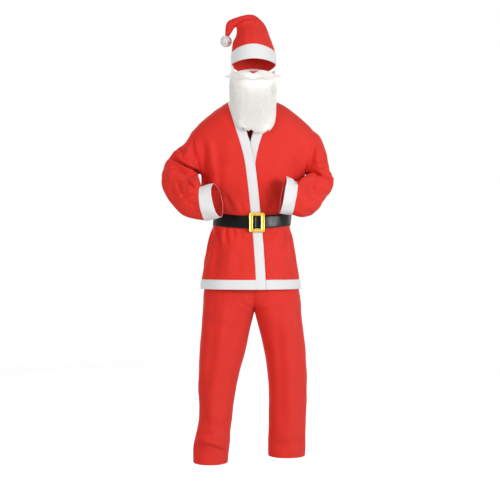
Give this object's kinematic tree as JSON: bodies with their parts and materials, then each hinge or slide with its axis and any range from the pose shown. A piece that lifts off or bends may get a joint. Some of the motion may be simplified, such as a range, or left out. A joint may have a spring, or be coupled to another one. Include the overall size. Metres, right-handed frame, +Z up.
{
  "type": "santa suit",
  "caption": "Worn, empty festive costume: red wrap jacket with white trims, belt, trousers, drooping hat and beard.",
  "frame": {"origin": "middle of the neck opening on the line of the shoulders, where the wearer carries the suit", "axes": "+Z up, -Y the way the wearer faces, +X the wearer's left"},
  "size_m": [0.6767, 0.3868, 1.7885],
  "materials": {
    "red_felt": "matte brushed felt",
    "white_felt": "matte brushed felt",
    "black_vinyl": "satin vinyl",
    "gold_plastic": "metallised gold",
    "ivory_fur": "long synthetic fibre"
  },
  "bodies": {
    "root": {"jacket_front_right": "red_felt", "jacket_front_left": "red_felt", "jacket_back": "red_felt", "sleeve_right": "red_felt", "sleeve_left": "red_felt", "trouser_front_right": "red_felt", "trouser_front_left": "red_felt", "trouser_back_right": "red_felt", "trouser_back_left": "red_felt", "hat_back": "red_felt", "hat_front": "red_felt", "front_band_right": "white_felt", "front_band_left": "white_felt", "hem_band_right": "white_felt", "hem_band_left": "white_felt", "hem_band_back": "white_felt", "neck_band": "white_felt", "cuff_right": "white_felt", "cuff_left": "white_felt", "hat_band": "white_felt", "beard_elastic": "white_felt", "belt_strap": "black_vinyl", "belt_buckle": "gold_plastic", "hat_pompom": "ivory_fur", "beard": "ivory_fur", "moustache": "ivory_fur"}
  },
  "joints": []
}
